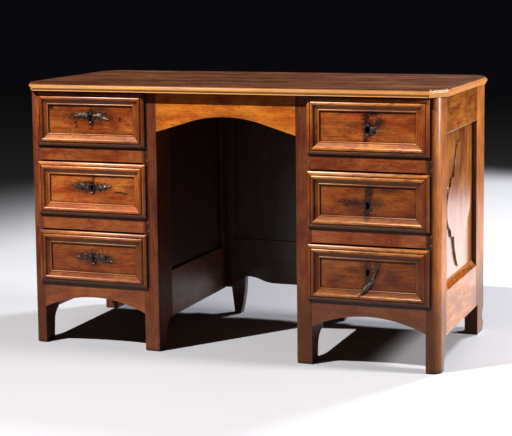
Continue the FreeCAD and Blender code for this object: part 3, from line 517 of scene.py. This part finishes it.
def walnutMaterial(name, finish, grain, shade=1.0, crestWearAndHighlight=0.0, front=None, stains=(), seams=()):
    look = {**plainWalnut, **walnut[finish]}
    stops = [(at, tuple(part * shade for part in tone)) for at, tone in look["stops"]]
    material, tree, shader = newMaterial(name, {
        "Coat Weight": look["coat"], "Coat Roughness": look["coatRough"],
        "Coat IOR": look["coatIor"], "Specular IOR Level": look["gloss"]})
    place = objectPlace(tree)
    number = addNode(tree, "ShaderNodeObjectInfo").outputs["Object Index"]
    shift = combined(tree, *(times(tree, number, step) for step in grainLook["boardShift"]))
    atRest = split(tree, place)
    axes = split(tree, shifted(tree, place, shift))
    local = turnedTo(tree, axes, grain)
    if front:
        moulding = mitred(tree, atRest, front)
        local = mitredGrain(tree, axes, local, moulding.upright)
    colour, fine, cloud = walnutColour(tree, local, look, stops)
    board = SimpleNamespace(tree=tree, shader=shader, look=look, place=place, atRest=atRest, local=local,
                            colour=colour, fine=fine, cloud=cloud,
                            darkest=(*stops[0][1], 1), lightest=(*stops[-1][1], 1))
    if front:
        shadeMoulding(board, moulding, front, crestWearAndHighlight)
    if finish in ("post", "rail"):
        paintSideLight(board, finish)
        paintShadeNearFloor(board)
    if finish == "post":
        paintShadowOnPost(board)
    if finish == "rail":
        paintShadowOnRail(board)
    if finish == "top":
        paintNoseWearAndLight(board)
    for seam in seams:
        drawSeam(board, seam)
    for stain in stains:
        drawStain(board, *stain)
    if finish != "inner":
        rubEdges(board)
    darkenCornersDirtAndShade(board, finish)
    tree.links.new(board.colour, shader.inputs["Base Color"])
    shapeSurface(board)
    return material


# Old iron of the locks and dark brass of the left plates: clean metal with rust in spots.
metalLook = {"scale": 210.0, "detail": 4.0, "rough": 0.65, "rustAt": 0.42, "cleanAt": 0.60,
             "metallic": 0.85, "roughRange": 0.3, "relief": 0.0009, "strength": 0.9}


def metalMaterial(name, clean, rust, rough):
    material, tree, shader = newMaterial(name, {"Metallic": metalLook["metallic"]})
    spots = noise(tree, objectPlace(tree), metalLook["scale"], metalLook["detail"], metalLook["rough"])
    tone = ramp(tree, spots, ((metalLook["rustAt"], rust), (metalLook["cleanAt"], clean)))
    tree.links.new(tone, shader.inputs["Base Color"])
    rougher = plus(tree, times(tree, spots, metalLook["roughRange"]), rough)
    tree.links.new(rougher, shader.inputs["Roughness"])
    bump = addNode(tree, "ShaderNodeBump", {"Height": times(tree, spots, metalLook["relief"]),
                                            "Distance": 1.0, "Strength": metalLook["strength"]})
    tree.links.new(bump.outputs[0], shader.inputs["Normal"])
    return material


iron = metalMaterial("oldIron", (0.17, 0.15, 0.13), (0.03, 0.014, 0.010), 0.3)
brass = metalMaterial("darkBrass", (0.14, 0.108, 0.092), (0.018, 0.011, 0.009), 0.24)

# Which finish each part of the frame takes, and where its grain runs.
boards = {
    "top": ("top", "x"), "outer_front_post": ("post", "z"), "inner_front_post": ("post", "z"),
    "outer_rear_post": ("post", "z"), "inner_rear_post": ("post", "z"), "front_rails": ("rail", "x"),
    "front_apron": ("rail", "x"), "outer_lower_rail": ("side", "y"), "outer_upper_rail": ("side", "y"),
    "outer_panel": ("side", "z"), "knee_side_rails": ("kneeBounceLit", "y"), "knee_side_panel": ("dark", "z"),
    "back_board": ("dark", "z"), "drawer_runners": ("inner", "y"), "kneehole_apron": ("apron", "x"),
    "kneehole_back_frame": ("dark", "x"), "kneehole_back_panel": ("dark", "z"),
    "drawer_box": ("inner", "y"),
}
# Drawer fronts: how light each is, how light the crest of its moulding is (worn, and partly a painted
# highlight), how high its keyhole is in metres, and the stains round that in mm as (right of it,
# above it, half width, half height, strength).
drawerFronts = {
    "left_top": {"shade": 0.92, "crestWearAndHighlight": 0.3, "keyhole": 0.6746, "stains": (
        (0, 2, 64, 15, 0.9), (2, 19, 10, 10, 0.75), (3, -20, 10, 14, 0.85), (-126, 27, 7, 9, 0.95),
        (-46, -22, 5, 14, 0.6), (34, 22, 30, 10, 0.65), (30, -18, 22, 9, 0.5), (92, -7, 7, 5, 0.7))},
    "left_middle": {"shade": 1.12, "crestWearAndHighlight": 0.2, "keyhole": 0.4707, "stains": (
        (-22, 1, 50, 18, 0.9), (30, 0, 34, 12, 0.85), (6, 30, 9, 9, 0.8), (4, 18, 4, 8, 0.8),
        (-8, -18, 28, 8, 0.45), (84, -13, 18, 3, 0.9), (104, -17, 12, 2.6, 0.9), (120, 2, 26, 5, 0.45))},
    "left_bottom": {"shade": 0.74, "crestWearAndHighlight": 0.3, "keyhole": 0.2624, "stains": (
        (-16, 3, 48, 15, 0.85), (40, -2, 36, 15, 0.8), (0, 22, 10, 7, 0.6), (2, -22, 22, 8, 0.5))},
    "right_top": {"shade": 1.08, "crestWearAndHighlight": 0.85, "keyhole": 0.6606, "stains": (
        (0, 2, 14, 26, 0.95), (-4, 30, 12, 20, 0.9), (16, 42, 18, 8, 0.9), (34, 20, 14, 12, 0.8),
        (20, 10, 20, 12, 0.6), (-6, -30, 8, 16, 0.9), (30, 0, 34, 26, 0.35), (-36, 8, 24, 10, 0.35))},
    "right_middle": {"shade": 0.76, "crestWearAndHighlight": 0.95, "keyhole": 0.4547, "stains": (
        (0, 2, 14, 28, 0.95), (4, 34, 13, 18, 0.9), (10, 48, 10, 8, 0.8), (-3, -30, 8, 16, 0.95),
        (-50, 4, 34, 10, 0.7), (-30, 0, 30, 16, 0.45), (50, 40, 24, 8, 0.45), (26, 6, 20, 14, 0.6))},
    "right_bottom": {"shade": 0.62, "crestWearAndHighlight": 1.0, "keyhole": 0.2699, "stains": (
        (1, -2, 9, 14, 1.0), (0, 2, 14, 24, 0.9), (4, -26, 18, 24, 0.8), (-42, 4, 22, 10, 0.5),
        (26, 10, 10, 30, 0.6), (70, -12, 24, 26, 0.4), (-90, -20, 34, 14, 0.3))},
}
edgeLook = {"weld": 0.00002, "round": 0.0012, "segments": 2, "sharpAngle": 32}
runningGap = 0.0003
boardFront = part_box("left_front_rails")[0].y - runningGap    # the flat boards stand just proud of the rails


def keyholeOf(drawer):    # right before the middle of its lock case
    low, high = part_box(f"{drawer}_drawer_lock")
    return (low.x + high.x) / 2, drawerFronts[drawer]["keyhole"]


def frontMaterial(drawer):
    look = drawerFronts[drawer]
    low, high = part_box(f"{drawer}_drawer_front")
    keyX, keyZ = keyholeOf(drawer)
    stains = [(keyX + x / 1000, keyZ + z / 1000, wide / 1000, tall / 1000, strength)
              for x, z, wide, tall, strength in look["stains"]]
    return walnutMaterial(f"{drawer}FrontWalnut", "drawer", "x", look["shade"], look["crestWearAndHighlight"],
                          ((low.x, high.x), (low.z, high.z)), stains)


boardWood = {}
for index, (name, part) in enumerate(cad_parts.items()):
    ending = next((end for end in sorted(boards, key=len, reverse=True) if name.endswith(end)), None)
    if name.endswith("drawer_front"):
        material = frontMaterial(name.removesuffix("_drawer_front"))
    elif ending:
        finish, grain = boards[ending]
        if (finish, grain) not in boardWood:
            boardWood[finish, grain] = walnutMaterial(f"{finish}Walnut{grain.capitalize()}", finish, grain,
                                                      seams=topSeams if finish == "top" else ())
        material = boardWood[finish, grain]
    elif name.endswith("escutcheon") and name.startswith("left"):
        material = brass
    else:
        material = iron
    part.pass_index = index + 1    # shifts the grain, so that no two boards are alike
    for holder in part.material_slots:
        holder.material = material
    weld = part.modifiers.new("weld", "WELD")
    weld.merge_threshold = edgeLook["weld"]
    bevel = part.modifiers.new("softEdges", "BEVEL")
    bevel.width = edgeLook["round"]
    bevel.segments = edgeLook["segments"]
    bevel.limit_method = "ANGLE"
    bevel.angle_limit = math.radians(edgeLook["sharpAngle"])
    bevel.use_clamp_overlap = True
    bevel.harden_normals = True
print("finishes:", len(boardWood) + len(drawerFronts), "kinds of walnut")

creaseAngle = 25


def addPiece(name, points, faces, material, body, replaced=()):
    mesh = bpy.data.meshes.new(name)
    mesh.from_pydata(points, [], faces)
    mesh.materials.append(material)
    mesh.shade_smooth()
    mesh.set_sharp_from_angle(angle=math.radians(creaseAngle))
    shape = bmesh.new()
    shape.from_mesh(mesh)
    bmesh.ops.recalc_face_normals(shape, faces=shape.faces)
    shape.to_mesh(mesh)
    shape.free()
    piece = bpy.data.objects.new(name, mesh)
    scene.collection.objects.link(piece)
    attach(piece, body)
    if replaced:
        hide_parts(*replaced)
    return piece


def loft(points, faces, loops, closedPath=False):    # adds a skin over loops of equal length
    start = len(points)
    around = len(loops[0])
    for loop in loops:
        points.extend(loop)
    rows = len(loops) if closedPath else len(loops) - 1
    for row in range(rows):
        here = start + row * around
        there = start + (row + 1) % len(loops) * around
        for column in range(around):
            after = (column + 1) % around
            faces.append((here + column, here + after, there + after, there + column))
    if not closedPath:
        faces.append(tuple(reversed(range(start, start + around))))
        faces.append(tuple(range(start + rows * around, start + (rows + 1) * around)))


def ring(radius, sides):    # corners of a regular outline
    for step in range(sides):
        angle = step * math.tau / sides
        yield radius * math.cos(angle), radius * math.sin(angle)


def smoothPath(stops, count):    # a curve through the stops
    vectors = [Vector(stop) for stop in stops]
    path = []
    for step in range(count + 1):
        along = step / count * (len(stops) - 1)
        first = min(int(along), len(stops) - 2)
        part = along - first
        before = vectors[max(first - 1, 0)]
        low, high = vectors[first], vectors[first + 1]
        beyond = vectors[min(first + 2, len(stops) - 1)]
        path.append(0.5 * ((2 * low) + (high - before) * part
                           + (2 * before - 5 * low + 4 * high - beyond) * part ** 2
                           + (3 * low - before - 3 * high + beyond) * part ** 3))
    return path


# Lock plates: a shield with a keyhole and two scrolled wings, in mm from the keyhole.
# The rings of a plate are (share of the way from keyhole to edge, thickness there).
plateLook = {
    "steps": 26, "around": 64, "edge": 0.5, "lobe": 0.2, "flanks": (0.6, 0.55), "taper": (0.08, 0.86),
    "thinnest": 0.5, "centreDrop": -3.5, "clearance": 0.3,
    "keyRadius": 4.2, "slotHalf": 2.0, "wornRadius": 6.3, "wornHalf": 4.75, "slotEnd": -13,
    "shieldRings": ((0, 0), (0, 1.5), (0.1, 2.1), (0.45, 1.5), (0.78, 2.4), (0.93, 2.0), (1, 0.9), (1, 0)),
    "tornRings": ((0, 0), (0, 0.9), (0.2, 1.3), (0.8, 1.2), (1, 0.6), (1, 0)),
    "across": 12.0, "above": 18.5, "below": 15.0, "fullness": 1.7,
}
nailHead = {"rings": ((1, 0), (1, 0.45), (0.75, 0.8), (0.35, 1.0)), "sides": 10, "rise": 0.7}
nearZero = 1e-6


def wing(points, faces, path, widths, ridge, lobes):    # a leaf along a path of (across, up, out)
    steps = plateLook["steps"]
    line = smoothPath(path, steps)
    spread = smoothPath([(width, 0, 0) for width in widths], steps)
    blunt, long = plateLook["taper"]
    loops = []
    for step, middle in enumerate(line):
        along = step / steps
        onward = line[min(step + 1, steps)] - line[max(step - 1, 0)]
        beside = Vector((-onward.y, onward.x, 0)).normalized()
        swell = 1 + plateLook["lobe"] * math.cos(math.tau * lobes * along)
        high = ridge * math.sin(math.pi * (blunt + long * along)) ** 0.5 * swell
        wide = max(spread[step].x * swell, plateLook["thinnest"])
        leftFlank, rightFlank = (share * high for share in plateLook["flanks"])
        section = ((-1, 0), (-1, plateLook["edge"]), (-0.5, leftFlank), (0, high), (0.5, rightFlank),
                   (1, plateLook["edge"]), (1, 0))
        loops.append([middle + beside * wide * side + Vector((0, 0, out)) for side, out in section])
    loft(points, faces, loops)


def keyholeRadius(angle, radius, half):    # from the plate's centre to the keyhole's edge
    across = math.cos(angle)
    upward = math.sin(angle)
    lift = -plateLook["centreDrop"]
    reachBall = upward * lift + math.sqrt(max(radius ** 2 - (across * lift) ** 2, 0))
    depth = plateLook["slotEnd"] - plateLook["centreDrop"]
    toSide = half / max(abs(across), nearZero)
    toEnd = depth / upward if upward < -nearZero else lift / max(upward, nearZero)
    return max(reachBall, min(toSide, toEnd))


def pierced(points, faces, outer, radius, half, rings):    # a plate round a keyhole
    loops = []
    for share, out in rings:
        loop = []
        for step in range(plateLook["around"]):
            angle = math.tau * step / plateLook["around"]
            inside = keyholeRadius(angle, radius, half) + plateLook["clearance"]
            away = inside + (outer(angle) - inside) * share
            loop.append(Vector((away * math.cos(angle),
                                away * math.sin(angle) + plateLook["centreDrop"], out)))
        loops.append(loop)
    loft(points, faces, loops, True)


def shieldEdge(angle):
    height = plateLook["above"] if math.sin(angle) > 0 else plateLook["below"]
    across = abs(math.cos(angle)) / plateLook["across"]
    upward = abs(math.sin(angle)) / height
    fullness = plateLook["fullness"]
    return (across ** fullness + upward ** fullness) ** (-1 / fullness)


def tornEdge(stops):    # a plate's broken edge from (degrees, radius) stops
    def edge(angle):
        turn = math.degrees(angle) % 360
        closed = [*stops, (stops[0][0] + 360, stops[0][1])]
        for (low, near), (high, far) in zip(closed, closed[1:]):
            if low <= turn <= high:
                part = (turn - low) / (high - low)
                return near + (far - near) * (3 * part ** 2 - 2 * part ** 3)
        return stops[0][1]
    return edge


def placed(points, drawer):    # from mm round the keyhole to metres on the drawer
    keyX, keyZ = keyholeOf(drawer)
    return [(keyX + point.x / 1000, boardFront - point.z / 1000, keyZ + point.y / 1000) for point in points]


def nail(points, faces, x, z, out, radius):
    loops = [[Vector((x + across, z + upward, out + high * radius * nailHead["rise"]))
              for across, upward in ring(radius * share, nailHead["sides"])]
             for share, high in nailHead["rings"]]
    loft(points, faces, loops)


wingPlates = {
    "left_top": {
        "wings": ({"path": ((-6, 0, 0.2), (-20, 4, 0.4), (-36, 3, 0.4), (-56, -1, 0)),
                   "widths": (4, 8, 7.5, 1.5), "ridge": 3.4, "lobes": 1},
                  {"path": ((6, 1, 0.2), (22, 3.5, 0.6), (38, -3, 0.5), (58, -9, 0)),
                   "widths": (4, 7, 6.5, 1.5), "ridge": 3.6, "lobes": 2}),
        "nails": ((-30, 3.5), (32, 0))},
    "left_middle": {
        "wings": ({"path": ((-6, 0, 0.2), (-22, 2, 0.6), (-40, 2, 0.5), (-55, 0, 0)),
                   "widths": (5, 10, 8.5, 2.5), "ridge": 3.8, "lobes": 1},
                  {"path": ((6, -1, 0.2), (24, -3, 0.5), (40, 0, 0.3), (59, 4, 0)),
                   "widths": (5, 7.5, 5.5, 1.5), "ridge": 3.2, "lobes": 3}),
        "nails": ((-34, 2), (30, -2))},
    "left_bottom": {
        "wings": ({"path": ((-5, 3, 0.2), (-20, 6, 0.5), (-36, 3, 0.4), (-52, 1, 0)),
                   "widths": (4, 8, 6, 1.5), "ridge": 3.2, "lobes": 2},
                  {"path": ((5, 4, 0.2), (22, 4, 0.6), (42, -4, 0.5), (63, -12, 0)),
                   "widths": (5, 9.5, 7.5, 1.5), "ridge": 3.8, "lobes": 2}),
        "nails": ((-28, 6.5), (34, 0))},
}
plateNail = {"out": 2.6, "radius": 1.7}
for drawer, plate in wingPlates.items():
    points, faces = [], []
    pierced(points, faces, shieldEdge, plateLook["keyRadius"], plateLook["slotHalf"],
            plateLook["shieldRings"])
    for leaf in plate["wings"]:
        wing(points, faces, **leaf)
    for x, z in plate["nails"]:
        nail(points, faces, x, z, **plateNail)
    addPiece(f"{drawer}_winged_plate", placed(points, drawer), faces, brass,
             f"{drawer}_drawer", (f"{drawer}_drawer_escutcheon",))

# Right pedestal: what is left of the plates, the last one hanging from its nail.
tornPlates = {
    "right_top": {
        "edge": ((0, 23), (14, 26), (26, 17), (40, 11.5), (90, 14), (135, 11.5), (180, 9), (225, 13),
                 (265, 17.5), (290, 18), (315, 20), (345, 24)),
        "nail": (0.5, -17)},
    "right_middle": {
        "edge": ((0, 9.5), (40, 12), (90, 14.5), (135, 12.5), (180, 10), (220, 13), (262, 17.5),
                 (300, 16.5), (330, 11)),
        "nail": (0.5, 13)},
}
tornNail = {"out": 0.8, "radius": 1.4}
for drawer, plate in tornPlates.items():
    points, faces = [], []
    pierced(points, faces, tornEdge(plate["edge"]), plateLook["wornRadius"], plateLook["wornHalf"],
            plateLook["tornRings"])
    nail(points, faces, *plate["nail"], **tornNail)
    addPiece(f"{drawer}_torn_plate", placed(points, drawer), faces, iron,
             f"{drawer}_drawer", (f"{drawer}_drawer_escutcheon",))
hangingPlate = {
    "drawer": "right_bottom",
    "strip": {"path": ((37, 32, 0.3), (29, 13, 0.4), (23, -6, 0.6), (10, -28, 1.0), (-9, -50, 7),
                       (-25, -64, 13.5)),
              "widths": (1.0, 2.6, 2.2, 1.6, 5.5, 6.0, 4.5, 1.0), "ridge": 2.4, "lobes": 4},
    "nails": ({"x": 3, "z": -9.5, "out": 0.0, "radius": 2.2},
              {"x": -5, "z": -37, "out": 4.2, "radius": 2.0}),
}
points, faces = [], []
drawer = hangingPlate["drawer"]
wing(points, faces, **hangingPlate["strip"])
for head in hangingPlate["nails"]:
    nail(points, faces, **head)
addPiece(f"{drawer}_hanging_plate", placed(points, drawer), faces, iron,
         f"{drawer}_drawer", (f"{drawer}_drawer_escutcheon",))
print("lock plates:", len(wingPlates) + len(tornPlates) + 1)

# Back: each pedestal is closed by rough upright planks, nailed above and below.
backPlanks = {
    "shares": (0.0, 0.37, 0.66, 1.0), "gap": 0.0012, "round": 0.0022, "corner": 0.3, "rows": 12,
    "sway": 0.0006, "swayTurns": 5, "hollow": 0.0009, "hollowTurns": 9, "shade": 1.15,
    "nailIn": 0.022, "nailShares": (0.2, 0.8), "nailRadius": 3.2, "nailSeat": 0.0011,
    "strayAcross": 0.006, "strayUp": 5, "seed": 7, "grainNumber": {"left": 70, "right": 80},
}
chance = random.Random(backPlanks["seed"])
roughWood = walnutMaterial("roughPlankWalnutZ", "dark", "z", backPlanks["shade"])


def plankOutline(left, far, y, dip):    # the back is hollow by dip, and every corner is worn
    front, back = y
    curve = backPlanks["round"]
    worn = backPlanks["corner"] * curve
    return ((left, front + curve), (left + curve, front), (far - curve, front), (far, front + curve),
            (far, back - curve), (far - worn, back - worn), (far - curve, back),
            ((left + far) / 2, back - dip), (left + curve, back), (left + worn, back - worn),
            (left, back - curve))


for side in ("left", "right"):
    low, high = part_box(f"{side}_back_board")
    nailPoints, nailFaces = [], []
    for row, (start, end) in enumerate(zip(backPlanks["shares"], backPlanks["shares"][1:])):
        fromX = low.x + (high.x - low.x) * start + (backPlanks["gap"] if start else 0)
        toX = low.x + (high.x - low.x) * end - (backPlanks["gap"] if end < 1 else 0)
        bend = chance.uniform(0, math.tau)
        loops = []
        for step in range(backPlanks["rows"] + 1):
            risen = step / backPlanks["rows"]
            sway = backPlanks["sway"] * math.sin(bend + backPlanks["swayTurns"] * risen)
            dip = backPlanks["hollow"] * (1 + math.sin(bend + backPlanks["hollowTurns"] * risen)) / 2
            outline = plankOutline(fromX + sway + backPlanks["sway"], toX + sway - backPlanks["sway"],
                                   (low.y, high.y), dip)
            loops.append([Vector((x, y, low.z + (high.z - low.z) * risen)) for x, y in outline])
        points, faces = [], []
        loft(points, faces, loops)
        plank = addPiece(f"{side}_back_plank_{row + 1}", points, faces, roughWood,
                         "carcass", (f"{side}_back_board",))
        plank.pass_index = backPlanks["grainNumber"][side] + row
        for share in backPlanks["nailShares"]:
            for height in (low.z + backPlanks["nailIn"], high.z - backPlanks["nailIn"]):
                stray = chance.uniform(-backPlanks["strayAcross"], backPlanks["strayAcross"])
                x = (fromX + (toX - fromX) * share + stray) * 1000
                z = height * 1000 + chance.uniform(-backPlanks["strayUp"], backPlanks["strayUp"])
                nail(nailPoints, nailFaces, x, z, 0.0, backPlanks["nailRadius"])
    seat = high.y - backPlanks["nailSeat"]
    heads = [(point.x / 1000, seat + point.z / 1000, point.y / 1000) for point in nailPoints]
    addPiece(f"{side}_back_nails", heads, nailFaces, iron, "carcass")
print("back planks:", 2 * (len(backPlanks["shares"]) - 1))

# Joinery in mm: half-blind dovetails where the drawer sides meet the fronts, pegged tenons.
dovetail = {"count": 4, "length": 15, "wide": 23, "narrow": 15, "proud": 0.25, "deep": 0.8, "skew": 1.2,
            "shade": 1.1}
paleWood = walnutMaterial("paleDrawerWoodY", "inner", "y", dovetail["shade"])
for drawer in drawerFronts:
    low, high = (corner * 1000 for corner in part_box(f"{drawer}_drawer_box"))
    pitch = (high.z - low.z) / dovetail["count"]
    tipY = low.y - dovetail["length"]
    points, faces = [], []
    for outside, inward in ((low.x, 1), (high.x, -1)):
        for row in range(dovetail["count"]):
            middle = low.z + pitch * (row + 0.5) + chance.uniform(-dovetail["skew"], dovetail["skew"])
            root = dovetail["narrow"] / 2
            tip = dovetail["wide"] / 2 + chance.uniform(0, dovetail["skew"])
            outline = ((low.y, middle - root), (tipY, middle - tip), (tipY, middle + tip),
                       (low.y, middle + root))
            loft(points, faces, [[Vector((outside + inward * depth, y, z)) for y, z in outline]
                                 for depth in (-dovetail["proud"], dovetail["deep"])])
    addPiece(f"{drawer}_dovetails", [point / 1000 for point in points], faces, paleWood,
             f"{drawer}_drawer")
peg = {"radius": 3.6, "apart": 24, "fromEdge": 15, "stray": 1, "sides": 10,
       "rings": ((1, -1.0), (1, 0.3), (0.7, 0.7))}
railHeights = [(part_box(f"left_{lower}_drawer_front")[1].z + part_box(f"left_{upper}_drawer_front")[0].z) / 2
               for lower, upper in (("bottom", "middle"), ("middle", "top"))]
for side in ("left", "right"):
    points, faces = [], []
    for part, outward in (("outer_front_post", -1), ("inner_front_post", 1)):
        low, high = (corner * 1000 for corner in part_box(f"{side}_{part}"))
        intoPost = -outward if side == "right" else outward    # from the post's edge at the drawers
        edge = high.x if intoPost < 0 else low.x
        for height in railHeights:
            for lift in (-0.5, 0.5):
                x = edge + intoPost * peg["fromEdge"] + chance.uniform(-peg["stray"], peg["stray"])
                z = height * 1000 + lift * peg["apart"]
                loft(points, faces, [[Vector((x + across, low.y - out, z + upward))
                                      for across, upward in ring(peg["radius"] * share, peg["sides"])]
                                     for share, out in peg["rings"]])
    addPiece(f"{side}_tenon_pegs", [point / 1000 for point in points], faces, boardWood["post", "z"],
             "carcass")
print("joinery: dovetails on", len(drawerFronts), "drawers and two sets of pegs")

# Floor: pale paper with a painted pool of light that fades into the dark, slower on the left. It throws
# back little light, or the desk's dark side would glow.
floorLook = {
    "size": 9.0, "rough": 0.6, "colour": (0.425, 0.434, 0.468, 1), "second": (0.412, 0.422, 0.462, 1),
    "cloudScale": 0.9, "cloudDetail": 2.0, "bounce": (0.35, 0.35, 0.36, 1), "dark": (0.006, 0.006, 0.007, 1),
    "pool": (-0.05, 0.67), "reach": (1.87, 2.97), "edge": 1.03, "fade": 0.13, "leftFade": 0.15,
}
bpy.ops.mesh.primitive_plane_add(size=2 * floorLook["size"])
floor = bpy.context.object
floor.name = "floor"
paper, tree, shader = newMaterial("palePaper", {"Roughness": floorLook["rough"]})
place = objectPlace(tree)
axes = split(tree, place)
away = ovalDistance(tree, (axes[0], axes[1]), floorLook["pool"], floorLook["reach"])
leftward = reckon(tree, "MAXIMUM", times(tree, axes[0], -floorLook["leftFade"]), 0.0)
softness = plus(tree, leftward, floorLook["fade"])
# Painted light: the pool's fade to black stands in for the studio light falling off.
fade = between(tree, reckon(tree, "DIVIDE", minus(tree, away, floorLook["edge"]), softness), -1.0, 1.0)
clouds = noise(tree, place, floorLook["cloudScale"], floorLook["cloudDetail"])
grey = mix(tree, clouds, floorLook["colour"], floorLook["second"])
bounced = addNode(tree, "ShaderNodeLightPath").outputs["Is Diffuse Ray"]
grey = mix(tree, bounced, grey, floorLook["bounce"], "MULTIPLY")
tree.links.new(mix(tree, fade, grey, floorLook["dark"]), shader.inputs["Base Color"])
floor.data.materials.append(paper)

# Lights: a hard key from the left above, a large lamp on the right for the pale side, a
# faint fill from the front, and one that lights the paper behind the desk.
lights = {
    "key": {"from": (-2.22, -3.09, 5.04), "to": (0, 0, 0.4), "size": 0.07, "power": 640,
            "tint": (1.0, 0.965, 0.91)},
    "side": {"from": (4.2, 0.1, 1.9), "to": (0.6, 0, 0.5), "size": 0.9, "power": 300,
             "tint": (1.0, 0.955, 0.91)},
    "front": {"from": (0.6, -6.5, 2.4), "to": (0, 0, 0.4), "size": 2.4, "power": 3,
              "tint": (1.0, 0.98, 0.96)},
    "paper": {"from": (1.9, 3.0, 3.8), "to": (0.2, 1.6, 0), "size": 1.0, "power": 245,
              "tint": (0.98, 0.98, 1.0)},
}
studioDark = (0.0045, 0.004, 0.006, 1)
for name, light in lights.items():
    lamp = bpy.data.lights.new(name, "AREA")
    lamp.shape = "DISK"
    lamp.size = light["size"]
    lamp.energy = light["power"]
    lamp.color = light["tint"]
    lampObject = bpy.data.objects.new(name, lamp)
    lampObject.location = light["from"]
    aim = Vector(light["to"]) - Vector(light["from"])
    lampObject.rotation_euler = aim.to_track_quat("-Z", "Y").to_euler()
    scene.collection.objects.link(lampObject)
world = bpy.data.worlds.new("darkStudio")
world.use_nodes = True
world.node_tree.nodes["Background"].inputs[0].default_value = studioDark
scene.world = world
print("lights:", len(lights))
